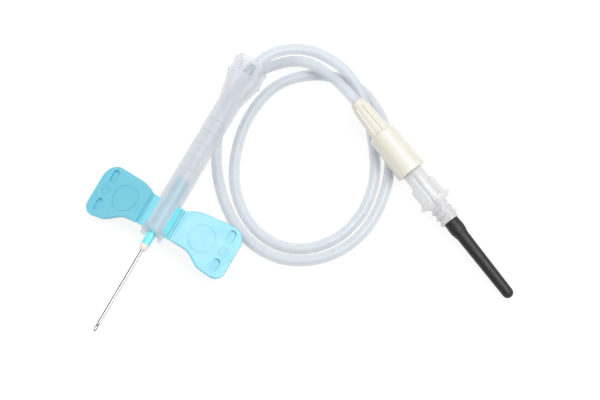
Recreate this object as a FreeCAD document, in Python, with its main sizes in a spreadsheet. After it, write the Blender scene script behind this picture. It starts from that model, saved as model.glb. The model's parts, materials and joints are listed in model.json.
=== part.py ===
"""Winged safety blood collection set: needle, wings, sliding shield, tubing, luer adapter.

Millimetres. +X runs along the needle towards its tip, +Z is up, and the origin lies on the
needle's axis at the hub's front shoulder, where the nose that carries a needle cap begins.
The set lies on a table that is axis_height below the needle's axis.
"""

import FreeCAD, Part
import math
import os

import Sketcher
from FreeCAD import Placement, Rotation, Vector

# Driving dimensions: millimetres, degrees and counts.
SIZES = {
    # Steel needle, 23 gauge, 19 mm of it in front of the hub
    "needle_diameter": 0.64,
    "needle_bore": 0.34,
    "needle_exposed": 19.0,
    "needle_seat_depth": 4.0,
    "bevel_length": 1.85,
    "lancet_length": 0.8,
    "lancet_heel": 0.077,
    "lancet_roll": 32.0,
    # Cone of adhesive between needle and nose
    "bond_length": 1.4,
    "bond_tip_diameter": 0.95,
    "bond_bulge_radius": 1.3,
    # Hub: nose, barrel that carries the wings, rear socket for the tubing
    "nose_length": 3.2,
    "nose_diameter": 1.9,
    "nose_chamfer": 0.06,
    "shoulder_length": 0.45,
    "barrel_length": 6.5,
    "barrel_diameter": 3.4,
    "socket_length": 5.7,
    "socket_wall": 0.3,
    "socket_depth": 4.0,
    "flow_bore": 0.9,
    "bond_gap": 0.02,
    # Living hinges, which lie just outside the shield, and wings, measured from their hinges
    "hinge_gap": 0.2,
    "knuckle_radius": 0.45,
    "hinge_clearance": 0.04,
    "hinge_web": 0.44,
    "web_thickness": 0.8,
    "web_foot": 0.64,
    "root_width": 6.8,
    "groove_width": 0.95,
    "wing_thickness": 0.9,
    "wing_span": 13.55,
    "wing_neck": 4.7,
    "wing_outer_front": 2.3,
    "wing_outer_width": 12.1,
    "wing_front_corner": 2.3,
    "wing_rear_corner": 3.0,
    "wing_flare_run": 3.4,
    "wing_front_draft": 0.3,
    "wing_neck_radius": 3.5,
    "wing_hip": 1.5,
    "wing_hip_run": 2.9,
    "wing_hip_radius": 8.0,
    "wing_edge_round": 0.2,
    "left_droop": 13.5,
    "right_droop": 23.5,
    "recess_reach": 10.9,
    "recess_spacing": 6.7,
    "recess_length": 2.8,
    "recess_width": 1.6,
    "recess_depth": 0.45,
    "ring_reach": 6.0,
    "ring_diameter": 5.9,
    "dot_reach": 11.0,
    "dot_diameter": 2.0,
    "ring_width": 0.22,
    "ring_height": 0.1,
    # Sliding shield, a running fit round the barrel
    "shield_front": 0.8,
    "shield_clearance": 0.25,
    "shield_wall": 0.6,
    "shield_taper": 0.15,
    "shield_neck": 31.8,
    "arch_radius": 4.8,
    "lip_length": 1.6,
    "root_opening": 3.0,
    "prong_width": 0.8,
    "prong_length": 0.5,
    "slot_clearance": 0.2,
    "travel": 24.8,
    "slot_end_gap": 0.3,
    "rib_count": 5,
    "rib_first": 14.3,
    "rib_pitch": 2.95,
    "rib_width": 0.22,
    "rib_height": 0.14,
    "rib_angle": 78.0,
    # Collar at the shield's rear, where the round tube flares to a rounded square
    "collar_side": 6.9,
    "collar_narrowing": 0.3,
    "collar_corner": 1.5,
    "collar_wall": 0.7,
    "collar_flare": 5.9,
    "collar_tail": 0.75,
    "tail_side": 6.1,
    "bead_height": 0.15,
    "bead_width": 0.5,
    "bead_spacing": 2.9,
    "window_width": 3.0,
    "rail_width": 0.35,
    "rail_height": 0.08,
    # Tubing, straight to a little past the shield
    "tube_diameter": 2.2,
    "tube_straight": 1.5,
    # Heights over the table, and the one axis of connector, adapter and sleeve, which dips
    "axis_height": 6.25,
    "connector_height": 7.2,
    "connector_x": -43.53,
    "connector_y": 22.52,
    "connector_yaw": 67.5,
    "connector_dip": 6.9,
    # Female luer connector
    "luer_length": 18.2,
    "luer_grip_length": 8.1,
    "luer_grip_wall": 0.43,
    "luer_grip_rise": 0.3,
    "luer_socket_depth": 3.8,
    "luer_flow_bore": 1.2,
    "luer_body_start": 5.9,
    "luer_body_end": 6.4,
    "luer_edge": 0.35,
    "luer_band": 1.2,
    "luer_band_step": 0.06,
    "luer_mouth": 4.3,
    "luer_taper": 0.06,
    "luer_depth": 8.5,
    "fin_count": 4,
    "grip_fin_width": 1.3,
    "grip_fin_low": 0.2,
    "grip_fin_high": 0.7,
    "grip_fin_setback": 1.3,
    "grip_fin_roll": 66.0,
    # Luer adapter
    "taper_insert": 7.2,
    "taper_gap": 0.03,
    "flange_position": 7.5,
    "flange_diameter": 7.2,
    "flange_thickness": 1.0,
    "flange_round": 0.35,
    "adapter_fin_length": 4.0,
    "adapter_fin_width": 1.7,
    "adapter_fin_diameter": 5.6,
    "adapter_fin_roll": 45.0,
    "collar_step_length": 0.6,
    "collar_step_diameter": 5.0,
    "thread_root_diameter": 3.8,
    "thread_length": 4.0,
    "stub_diameter": 2.0,
    "stub_length": 2.6,
    # Holder cannula and its rubber sleeve
    "rear_needle_diameter": 0.72,
    "rear_needle_bore": 0.42,
    "rear_needle_inset": 6.0,
    "rear_bevel_length": 1.8,
    "sleeve_length": 19.6,
    "sleeve_wall": 0.575,
    "sleeve_swell": 0.075,
    "sleeve_bulge_position": 1.6,
    "sleeve_waist_position": 6.0,
    "sleeve_waist_diameter": 2.65,
    "sleeve_tip_diameter": 2.3,
    "sleeve_bore_gap": 0.12,
    "sleeve_tip_wall": 1.2,
    # How far a cutting outline runs past what it cuts
    "cut_margin": 1.0,
}

# Route of the tubing's centreline past the shield: down to the table, round two loose turns and
# up towards the connector, as x, y and the height over where the tubing rests on the table.
TUBE_ROUTE = [
    (-48.8, 7.0, 4.05),
    (-49.4, 15.8, 2.95),
    (-46.1, 22.4, 2.55),
    (-39.8, 28.4, 0.65),
    (-32.6, 32.8, 0.0),
    (-24.1, 34.2, 0.0),
    (-16.2, 31.7, 0.0),
    (-11.3, 25.5, 0.0),
    (-11.2, 17.3, 0.0),
    (-15.8, 10.2, 0.0),
    (-23.2, 5.8, 0.0),
    (-31.8, 4.4, 0.0),
    (-40.2, 6.2, 0.0),
    (-46.2, 12.0, 0.0),
    (-48.4, 20.2, 0.0),
    (-44.4, 28.4, 0.0),
    (-37.4, 34.0, 0.0),
    (-29.0, 36.8, 0.0),
    (-20.4, 36.5, 0.0),
    (-12.6, 32.1, 0.0),
    (-8.1, 24.4, 0.0),
    (-8.6, 15.8, 0.0),
    (-13.4, 8.2, 0.0),
    (-20.4, 2.4, 0.0),
    (-28.8, -1.1, 0.0),
    (-37.4, -1.4, 0.0),
    (-43.6, 2.8, 0.35),
    (-46.6, 8.2, 2.75),
    (-46.5, 13.4, 3.65),
]
# Where the tubing comes onto the connector's axis, from the connector's rear end
TUBE_APPROACH = -3.2
# Share of the shorter run that each bend of the tubing takes
ARC_SHARE = 0.45
# Distances below which two places are one, for edges that are picked by where they lie
SAME_PLACE = 1e-4

# Places and radii that several pieces share, written from the driving dimensions
TUBE_SOCKET = "(tube_diameter / 2 + bond_gap)"
SHIELD_BORE = "(barrel_diameter / 2 + shield_clearance)"
SHIELD_RADIUS = "(%s + shield_wall)" % SHIELD_BORE
HINGE_LINE = "(%s + hinge_gap + knuckle_radius)" % SHIELD_RADIUS
NEEDLE_TIP = "(nose_length + bond_length + needle_exposed)"
HUB_REAR = "(-barrel_length - socket_length)"
SOCKET_FLOOR = "(-barrel_length - socket_length + socket_depth)"
WEB_REAR = "(-root_width)"
NECK = "(shield_front - shield_neck)"
SLOT_END = "(%s - travel - slot_end_gap)" % WEB_REAR
COLLAR_FRONT = "(%s - collar_flare)" % NECK
REAR_BEAD = "(%s - bead_spacing)" % COLLAR_FRONT
SHIELD_REAR = "(%s - bead_width / 2 - collar_tail)" % REAR_BEAD
LUER_GRIP = "(%s + luer_grip_wall)" % TUBE_SOCKET
LUER_FLOOR = "(luer_length - luer_depth)"
FLANGE_FRONT = "(luer_length + flange_position + flange_thickness / 2)"
FLANGE_BACK = "(luer_length + flange_position - flange_thickness / 2)"
THREAD_END = "(%s + collar_step_length + thread_length)" % FLANGE_FRONT
SLEEVE_MOUTH = "(stub_diameter / 2 + sleeve_wall)"
SLEEVE_BULGE = "(%s + sleeve_swell)" % SLEEVE_MOUTH
SLEEVE_TIP = "(%s + sleeve_length)" % THREAD_END

doc = FreeCAD.newDocument("SafetyBloodCollectionSet")
sheet = doc.addObject("Spreadsheet::Sheet", "Sizes")
for row, (alias, size) in enumerate(SIZES.items(), start=1):
    sheet.set("A%d" % row, alias)
    sheet.set("B%d" % row, str(size))
    sheet.setAlias("B%d" % row, alias)
doc.recompute()


def linked(expression):
    """Return the expression with each alias pointed at the sheet."""
    words = []
    word = ""
    for letter in expression + " ":
        if letter.isalnum() or letter == "_":
            word += letter
            continue
        words.append("Sizes." + word if word in SIZES else word)
        words.append(letter)
        word = ""
    return "".join(words).strip()


def size_of(expression):
    """Return the number that an expression of aliases gives."""
    return float(sheet.evalExpression(expression))


def make_body(name):
    """Start a sub-part's body under its own name."""
    body = doc.addObject("PartDesign::Body", name)
    body.Label = name
    return body


def origin_feature(body, role):
    """Return one of the body's own origin planes or axes."""
    for feature in body.Origin.OriginFeatures:
        if feature.Role == role:
            return feature
    raise ValueError(role)


def make_sketch(body, name, plane, lift="0", roll=None):
    """Attach an empty sketch to an origin plane, rolled about its x and lifted along its normal."""
    sketch = body.newObject("Sketcher::SketchObject", body.Name + "_" + name)
    sketch.AttachmentSupport = [(origin_feature(body, plane), "")]
    sketch.MapMode = "FlatFace"
    if roll is not None:
        sketch.AttachmentOffset = Placement(Vector(), Rotation(Vector(1, 0, 0), size_of(roll)))
        sketch.setExpression("AttachmentOffset.Rotation.Angle", linked(roll))
    if lift != "0" and roll is not None:
        sketch.setExpression("AttachmentOffset.Base.y", linked("-sin(%s) * (%s)" % (roll, lift)))
        sketch.setExpression("AttachmentOffset.Base.z", linked("cos(%s) * (%s)" % (roll, lift)))
    elif lift != "0":
        sketch.setExpression("AttachmentOffset.Base.z", linked(lift))
    return sketch


def fix_point(sketch, edge, end, x, y):
    """Hold one end of an edge at the place that two expressions give."""
    for kind, expression, axis in (("DistanceX", x, -2), ("DistanceY", y, -1)):
        if expression == "0":
            sketch.addConstraint(Sketcher.Constraint("PointOnObject", edge, end, axis))
            continue
        value = size_of(expression)
        index = sketch.addConstraint(Sketcher.Constraint(kind, -1, 1, edge, end, value))
        sketch.setExpression("Constraints[%d]" % index, linked(expression))


def arc_through(first, last, radius, side):
    """Return the arc between two points whose centre lies left (side 1) or right (side -1)."""
    chord = last - first
    half = chord.Length / 2
    rise = math.sqrt(max(radius * radius - half * half, 0.0))
    normal = Vector(-chord.y, chord.x, 0).normalize() * side
    centre = first + chord / 2 + normal * rise
    start = math.atan2(first.y - centre.y, first.x - centre.x)
    finish = math.atan2(last.y - centre.y, last.x - centre.x)
    circle = Part.Circle(centre, Vector(0, 0, 1), radius)
    if side > 0:
        return Part.ArcOfCircle(circle, start, finish), 1, 2
    return Part.ArcOfCircle(circle, finish, start), 2, 1


def add_outline(sketch, stations):
    """Draw a closed outline.

    Each station is (x, y) or (x, y, radius, side), expressions of aliases: its last two say
    that the edge to the next station is an arc of that radius.
    """
    points = [Vector(size_of(station[0]), size_of(station[1]), 0) for station in stations]
    edges = []
    for index, station in enumerate(stations):
        first = points[index]
        last = points[(index + 1) % len(points)]
        if len(station) == 2:
            edge = sketch.addGeometry(Part.LineSegment(first, last))
            edges.append((edge, 1, 2, None, False))
            continue
        radius = size_of(station[2])
        arc, start, finish = arc_through(first, last, radius, station[3])
        half_turn = (last - first).Length > 2 * radius - SAME_PLACE
        edges.append((sketch.addGeometry(arc), start, finish, station[2], half_turn))
    for index, (edge, start, finish, radius, half_turn) in enumerate(edges):
        following = edges[(index + 1) % len(edges)]
        joint = "Tangent" if following[4] else "Coincident"
        sketch.addConstraint(Sketcher.Constraint(joint, edge, finish, following[0], following[1]))
        fix_point(sketch, edge, start, stations[index][0], stations[index][1])
        if radius is not None and not half_turn:
            held = sketch.addConstraint(Sketcher.Constraint("Radius", edge, size_of(radius)))
            sketch.setExpression("Constraints[%d]" % held, linked(radius))


def add_rounded_square(sketch, side, corner):
    """Draw a square about the sketch's origin whose corners are arcs."""
    half = "(%s) / 2" % side
    flat = "((%s) / 2 - (%s))" % (side, corner)
    add_outline(
        sketch,
        [
            (half, "-" + flat),
            (half, flat, corner, 1),
            (flat, half),
            ("-" + flat, half, corner, 1),
            ("-(%s)" % half, flat),
            ("-(%s)" % half, "-" + flat, corner, 1),
            ("-" + flat, "-(%s)" % half),
            (flat, "-(%s)" % half, corner, 1),
        ],
    )


def add_arc_circle(sketch, radius):
    """Draw a circle of eight arcs, which a rounded square's sides and corners can blend into."""
    far = "(%s) * cos(22.5)" % radius
    near = "(%s) * sin(22.5)" % radius
    add_outline(
        sketch,
        [
            (far, "-(%s)" % near, radius, 1),
            (far, near, radius, 1),
            (near, far, radius, 1),
            ("-(%s)" % near, far, radius, 1),
            ("-(%s)" % far, near, radius, 1),
            ("-(%s)" % far, "-(%s)" % near, radius, 1),
            ("-(%s)" % near, "-(%s)" % far, radius, 1),
            (near, "-(%s)" % far, radius, 1),
        ],
    )


def add_circle(sketch, x, y, diameter):
    """Draw a circle whose centre and diameter follow the sheet."""
    centre = Vector(size_of(x), size_of(y), 0)
    edge = sketch.addGeometry(Part.Circle(centre, Vector(0, 0, 1), size_of(diameter) / 2))
    held = sketch.addConstraint(Sketcher.Constraint("Diameter", edge, size_of(diameter)))
    sketch.setExpression("Constraints[%d]" % held, linked(diameter))
    fix_point(sketch, edge, 3, x, y)


def extrude(body, kind, sketch, length, symmetric=False, reverse=False):
    """Pad or pocket a sketch by a length."""
    feature = body.newObject("PartDesign::" + kind, sketch.Name + "_" + kind)
    feature.Profile = sketch
    feature.setExpression("Length", linked(length))
    feature.SideType = "Symmetric" if symmetric else "One side"
    feature.Reversed = reverse
    sketch.Visibility = False
    body.Tip = feature
    return feature


def revolve(body, kind, sketch, angle="360", symmetric=False):
    """Turn a sketch about the body's X axis."""
    feature = body.newObject("PartDesign::" + kind, sketch.Name + "_" + kind)
    feature.Profile = sketch
    feature.ReferenceAxis = (origin_feature(body, "X_Axis"), [""])
    feature.setExpression("Angle", linked(angle))
    feature.Midplane = symmetric
    sketch.Visibility = False
    body.Tip = feature
    return feature


def loft(body, kind, sketches):
    """Add or cut away the straight-sided blend between sketches that follow one another."""
    feature = body.newObject("PartDesign::" + kind, sketches[0].Name + "_" + kind)
    feature.Profile = sketches[0]
    feature.Sections = sketches[1:]
    feature.Ruled = True
    for sketch in sketches:
        sketch.Visibility = False
    body.Tip = feature
    return feature


def repeat_round(body, feature, count):
    """Repeat a feature evenly about the body's X axis."""
    pattern = body.newObject("PartDesign::PolarPattern", feature.Name + "_Round")
    pattern.Originals = [feature]
    pattern.Axis = (origin_feature(body, "X_Axis"), [""])
    pattern.Angle = 360
    pattern.setExpression("Occurrences", linked(count))
    body.Tip = pattern


def repeat_back(body, feature, pitch, count):
    """Repeat a feature towards -X at a pitch."""
    pattern = body.newObject("PartDesign::LinearPattern", feature.Name + "_Row")
    pattern.Originals = [feature]
    pattern.Direction = (origin_feature(body, "X_Axis"), [""])
    pattern.Reversed = True
    pattern.setExpression("Length", linked("(%s) * (%s - 1)" % (pitch, count)))
    pattern.setExpression("Occurrences", linked(count))
    body.Tip = pattern


def round_edges(body, feature, radius, wanted):
    """Fillet the edges of a feature that a test picks."""
    doc.recompute()
    names = []
    for index, edge in enumerate(feature.Shape.Edges, start=1):
        if wanted(edge):
            names.append("Edge%d" % index)
    fillet = body.newObject("PartDesign::Fillet", feature.Name + "_Round")
    fillet.Base = (feature, names)
    fillet.setExpression("Radius", linked(radius))
    body.Tip = fillet
    return fillet


def lay_on_connector_axis(body):
    """Turn and move a body from its own axis to the connector's."""
    body.setExpression(
        "Placement",
        linked(
            "create(<<placement>>; "
            "create(<<vector>>; connector_x; connector_y; connector_height - axis_height); "
            "create(<<rotation>>; connector_yaw; connector_dip; 0))"
        ),
    )


def add_bevel(body, name, tip, length, diameter, roll=None, heel="0"):
    """Grind a slanted face on a cannula, from its tip back along its length."""
    sketch = make_sketch(body, name, "XZ_Plane", roll=roll)
    rear = "%s - %s" % (tip, length)
    front = "%s + cut_margin" % tip
    low = "%s - %s / 2" % (heel, diameter)
    high = "%s + %s / 2" % (heel, diameter)
    add_outline(
        sketch,
        [
            (tip, low),
            (rear, high),
            (rear, high + " + cut_margin"),
            (front, high + " + cut_margin"),
            (front, low),
        ],
    )
    extrude(body, "Pocket", sketch, "%s + cut_margin * 2" % diameter, symmetric=True)


def make_needle_cannula():
    """Thin steel tube with a ground bevel and two lancet facets at its tip."""
    body = make_body("needle_cannula")
    sketch = make_sketch(body, "Wall", "XZ_Plane")
    add_outline(
        sketch,
        [
            ("-needle_seat_depth", "needle_bore / 2"),
            (NEEDLE_TIP, "needle_bore / 2"),
            (NEEDLE_TIP, "needle_diameter / 2"),
            ("-needle_seat_depth", "needle_diameter / 2"),
        ],
    )
    revolve(body, "Revolution", sketch)
    add_bevel(body, "Bevel", NEEDLE_TIP, "bevel_length", "needle_diameter")
    for side, roll in (("Left", "lancet_roll"), ("Right", "-lancet_roll")):
        add_bevel(
            body,
            side + "Lancet",
            NEEDLE_TIP,
            "lancet_length",
            "needle_diameter",
            roll=roll,
            heel="lancet_heel",
        )


def make_needle_bond():
    """Small cone of adhesive that fairs the needle into the nose."""
    body = make_body("needle_bond")
    sketch = make_sketch(body, "Profile", "XZ_Plane")
    add_outline(
        sketch,
        [
            ("nose_length", "needle_diameter / 2"),
            ("nose_length + bond_length", "needle_diameter / 2"),
            ("nose_length + bond_length", "bond_tip_diameter / 2", "bond_bulge_radius", 1),
            ("nose_length", "nose_diameter / 2 - nose_chamfer"),
        ],
    )
    revolve(body, "Revolution", sketch)


def make_needle_hub():
    """Moulded hub: nose, barrel, tubing socket and the two root webs that cross the shield."""
    body = make_body("needle_hub")
    sketch = make_sketch(body, "Profile", "XZ_Plane")
    add_outline(
        sketch,
        [
            (HUB_REAR, TUBE_SOCKET),
            (SOCKET_FLOOR, TUBE_SOCKET),
            (SOCKET_FLOOR, "flow_bore / 2"),
            ("-needle_seat_depth", "flow_bore / 2"),
            ("-needle_seat_depth", "needle_diameter / 2"),
            ("nose_length", "needle_diameter / 2"),
            ("nose_length", "nose_diameter / 2 - nose_chamfer"),
            ("nose_length - nose_chamfer", "nose_diameter / 2"),
            ("0", "nose_diameter / 2"),
            ("-shoulder_length", "barrel_diameter / 2"),
            ("-barrel_length", "barrel_diameter / 2"),
            ("-barrel_length", TUBE_SOCKET + " + socket_wall"),
            (HUB_REAR, TUBE_SOCKET + " + socket_wall"),
        ],
    )
    revolve(body, "Revolution", sketch)
    seat_radius = "(knuckle_radius + hinge_clearance)"
    for side, sign in (("Left", ""), ("Right", "-")):
        web = make_sketch(body, side + "Web", "XY_Plane")
        add_outline(
            web,
            [
                (WEB_REAR, sign + "web_foot"),
                ("0", sign + "web_foot"),
                ("0", sign + "(%s - knuckle_radius / 2)" % HINGE_LINE),
                (WEB_REAR, sign + "(%s - knuckle_radius / 2)" % HINGE_LINE),
            ],
        )
        extrude(body, "Pad", web, "web_thickness", symmetric=True)
    for side, sign in (("Left", ""), ("Right", "-")):
        seat = make_sketch(body, side + "KnuckleSeat", "YZ_Plane")
        add_circle(seat, sign + HINGE_LINE, "0", seat_radius + " * 2")
        extrude(body, "Pocket", seat, "root_width * 2 + cut_margin", symmetric=True)


def wing_corners(sign):
    """Return a wing's corners, flat, from its hinge line outwards, with the radius of each."""
    flare = sign + "(wing_neck + wing_flare_run)"
    return [
        ("0", "0", None),
        ("0", sign + "wing_neck", "wing_neck_radius"),
        ("wing_outer_front - wing_front_draft", flare, "wing_neck_radius"),
        ("wing_outer_front", sign + "wing_span", "wing_front_corner"),
        ("wing_outer_front - wing_outer_width", sign + "wing_span", "wing_rear_corner"),
        (WEB_REAR + " - wing_hip", sign + "wing_hip_run", "wing_hip_radius"),
        (WEB_REAR, sign + "knuckle_radius", None),
        (WEB_REAR, "0", None),
    ]


def make_wing(name, sign, droop):
    """Soft wing: hinge knuckle, thin hinge web, plate with rings and finger recesses.

    It is drawn flat with its hinge line on the body's X axis, then swung down to its rest.
    """
    body = make_body(name)
    plate = make_sketch(body, "Outline", "XY_Plane")
    corners = wing_corners(sign)
    add_outline(plate, [corner[:2] for corner in corners])
    slab = extrude(body, "Pad", plate, "wing_thickness", symmetric=True)
    for x, y, radius in corners:
        if radius is None:
            continue
        place = Vector(size_of(x), size_of(y), 0)

        def stands_on_corner(edge):
            return (edge.CenterOfMass - place).Length < SAME_PLACE

        slab = round_edges(body, slab, radius, stands_on_corner)
    half = size_of("wing_thickness / 2")
    root = size_of("knuckle_radius")

    def on_face_edge(edge):
        box = edge.BoundBox
        flat = abs(abs(box.ZMin) - half) < SAME_PLACE and box.ZLength < SAME_PLACE
        return flat and max(abs(box.YMin), abs(box.YMax)) > root + SAME_PLACE

    round_edges(body, slab, "wing_edge_round", on_face_edge)
    for side, lift, reverse in (("Top", "hinge_web / 2", True), ("Under", "-hinge_web / 2", False)):
        groove = make_sketch(body, side + "Groove", "XY_Plane", lift=lift)
        add_outline(
            groove,
            [
                (WEB_REAR + " - cut_margin", sign + "(-knuckle_radius)"),
                ("cut_margin", sign + "(-knuckle_radius)"),
                ("cut_margin", sign + "groove_width"),
                (WEB_REAR + " - cut_margin", sign + "groove_width"),
            ],
        )
        extrude(body, "Pocket", groove, "wing_thickness", reverse=reverse)
    knuckle = make_sketch(body, "Knuckle", "YZ_Plane", lift=WEB_REAR)
    add_circle(knuckle, "0", "0", "knuckle_radius * 2")
    extrude(body, "Pad", knuckle, "root_width")
    middle = "(wing_outer_front - wing_outer_width / 2)"
    for side, shift in (("Front", "recess_spacing / 2"), ("Rear", "-recess_spacing / 2")):
        recess = make_sketch(body, side + "Recess", "XY_Plane", lift="wing_thickness / 2 - recess_depth")
        long_half = "(recess_length - recess_width) / 2"
        centre = "%s + %s" % (middle, shift)
        turn = 1 if sign == "" else -1
        low = sign + "(recess_reach - recess_width / 2)"
        high = sign + "(recess_reach + recess_width / 2)"
        add_outline(
            recess,
            [
                ("%s - %s" % (centre, long_half), low),
                ("%s + %s" % (centre, long_half), low, "recess_width / 2", turn),
                ("%s + %s" % (centre, long_half), high),
                ("%s - %s" % (centre, long_half), high, "recess_width / 2", turn),
            ],
        )
        extrude(body, "Pocket", recess, "wing_thickness", reverse=True)
    for ring, reach, diameter in (
        ("Large", "ring_reach", "ring_diameter"),
        ("Small", "dot_reach", "dot_diameter"),
    ):
        circle = make_sketch(body, ring + "Ring", "XY_Plane", lift="wing_thickness / 2")
        add_circle(circle, middle, sign + reach, diameter)
        add_circle(circle, middle, sign + reach, diameter + " - ring_width * 2")
        extrude(body, "Pad", circle, "ring_height")
    body.Placement = Placement(Vector(), Rotation(Vector(1, 0, 0), size_of(droop)))
    body.setExpression("Placement.Base.y", linked(sign + HINGE_LINE))
    body.setExpression("Placement.Rotation.Angle", linked(droop))


def add_collar(body):
    """Flare the shield's rear to a rounded square collar with two beads and a plain tail."""
    bore_corner = "collar_corner - collar_wall"
    sections = (
        ("Front", COLLAR_FRONT, "collar_side"),
        ("Rear", REAR_BEAD, "(collar_side - collar_narrowing)"),
    )
    outer = [make_sketch(body, "Flare", "YZ_Plane", lift=NECK)]
    add_arc_circle(outer[0], "(%s - shield_taper)" % SHIELD_RADIUS)
    inner = [make_sketch(body, "FlareBore", "YZ_Plane", lift=NECK)]
    add_arc_circle(inner[0], "(%s - shield_taper)" % SHIELD_BORE)
    for name, place, side in sections:
        outer.append(make_sketch(body, name + "Collar", "YZ_Plane", lift=place))
        add_rounded_square(outer[-1], side, "collar_corner")
        inner.append(make_sketch(body, name + "CollarBore", "YZ_Plane", lift=place))
        add_rounded_square(inner[-1], side + " - collar_wall * 2", bore_corner)
    loft(body, "AdditiveLoft", outer)
    tail = make_sketch(body, "Tail", "YZ_Plane", lift=SHIELD_REAR)
    add_rounded_square(tail, "tail_side", "collar_corner")
    extrude(body, "Pad", tail, "%s - %s" % (REAR_BEAD, SHIELD_REAR))
    for name, place, side in sections:
        bead = make_sketch(body, name + "Bead", "YZ_Plane", lift=place)
        add_rounded_square(bead, side + " + bead_height * 2", "collar_corner")
        extrude(body, "Pad", bead, "bead_width", symmetric=True)
    loft(body, "SubtractiveLoft", inner)
    tail_bore = make_sketch(body, "TailBore", "YZ_Plane", lift=SHIELD_REAR)
    add_rounded_square(tail_bore, "tail_side - collar_wall * 2", bore_corner)
    extrude(body, "Pocket", tail_bore, "%s - %s" % (REAR_BEAD, SHIELD_REAR), reverse=True)


def add_collar_window(body):
    """Cut the latch window through the collar's top, between the beads, and rail its sides."""
    front = COLLAR_FRONT + " - bead_width / 2"
    rear = REAR_BEAD + " + bead_width / 2"
    for side, sign in (("Left", ""), ("Right", "-")):
        rail = make_sketch(body, side + "Rail", "XY_Plane", lift="(collar_side - collar_wall) / 2")
        add_outline(
            rail,
            [
                (rear, sign + "window_width / 2"),
                (front, sign + "window_width / 2"),
                (front, sign + "(window_width / 2 + rail_width)"),
                (rear, sign + "(window_width / 2 + rail_width)"),
            ],
        )
        extrude(body, "Pad", rail, "collar_wall / 2 + rail_height")
    floor = "collar_side / 2 - collar_wall - cut_margin / 2"
    window = make_sketch(body, "Window", "XY_Plane", lift=floor)
    add_outline(
        window,
        [
            (rear, "-window_width / 2"),
            (front, "-window_width / 2"),
            (front, "window_width / 2"),
            (rear, "window_width / 2"),
        ],
    )
    extrude(body, "Pocket", window, "collar_wall + cut_margin * 2", reverse=True)


def make_safety_shield():
    """Sliding shield: slotted tube with a front lip and prongs, top ribs and a rear collar."""
    body = make_body("safety_shield")
    prong_tip = "(shield_front + prong_length)"
    sketch = make_sketch(body, "Profile", "XZ_Plane")
    add_outline(
        sketch,
        [
            (NECK, SHIELD_BORE + " - shield_taper"),
            (prong_tip, SHIELD_BORE),
            (prong_tip, SHIELD_RADIUS),
            (NECK, SHIELD_RADIUS + " - shield_taper"),
        ],
    )
    revolve(body, "Revolution", sketch)
    add_collar(body)

    slot_half = "(web_thickness / 2 + slot_clearance)"
    slot = make_sketch(body, "Slots", "XZ_Plane")
    add_outline(
        slot,
        [
            (prong_tip + " + cut_margin", slot_half),
            (SLOT_END + " + " + slot_half, slot_half, slot_half, 1),
            (SLOT_END + " + " + slot_half, "-" + slot_half),
            (prong_tip + " + cut_margin", "-" + slot_half),
        ],
    )
    extrude(body, "Pocket", slot, SHIELD_RADIUS + " * 4", symmetric=True)

    opening = make_sketch(body, "RootOpening", "XZ_Plane")
    add_outline(
        opening,
        [
            (WEB_REAR + " - slot_clearance", "-root_opening / 2"),
            ("shield_front - lip_length", "-root_opening / 2"),
            ("shield_front - lip_length", "root_opening / 2"),
            (WEB_REAR + " - slot_clearance", "root_opening / 2"),
        ],
    )
    extrude(body, "Pocket", opening, SHIELD_RADIUS + " * 4", symmetric=True)

    arch_top = "(%s + cut_margin / 2)" % SHIELD_RADIUS
    arch = "(shield_front - arch_radius + sqrt(arch_radius^2 - %s^2))"
    front = make_sketch(body, "FrontArch", "XZ_Plane")
    for sign, edge, turn in (("", slot_half, 1), ("-", "(%s + prong_width)" % slot_half, -1)):
        add_outline(
            front,
            [
                (prong_tip + " + cut_margin", sign + edge),
                (prong_tip + " + cut_margin", sign + arch_top),
                (arch % arch_top, sign + arch_top, "arch_radius", -turn),
                (arch % edge, sign + edge),
            ],
        )
    extrude(body, "Pocket", front, SHIELD_RADIUS + " * 4", symmetric=True)

    rib = make_sketch(body, "Rib", "XZ_Plane")
    rib_place = "(-rib_first)"
    rib_foot = "(%s - shield_wall / 2)" % SHIELD_RADIUS
    rib_top = "(%s + rib_height)" % SHIELD_RADIUS
    add_outline(
        rib,
        [
            (rib_place + " - rib_width / 2", rib_foot),
            (rib_place + " + rib_width / 2", rib_foot),
            (rib_place + " + rib_width / 2", rib_top),
            (rib_place + " - rib_width / 2", rib_top),
        ],
    )
    first_rib = revolve(body, "Revolution", rib, "rib_angle", symmetric=True)
    repeat_back(body, first_rib, "rib_pitch", "rib_count")
    add_collar_window(body)


def repeat_fin(body, sketch, length, symmetric=False):
    """Pad one longitudinal fin and repeat it round the body's axis."""
    fin = extrude(body, "Pad", sketch, length, symmetric=symmetric)
    repeat_round(body, fin, "fin_count")


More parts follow.
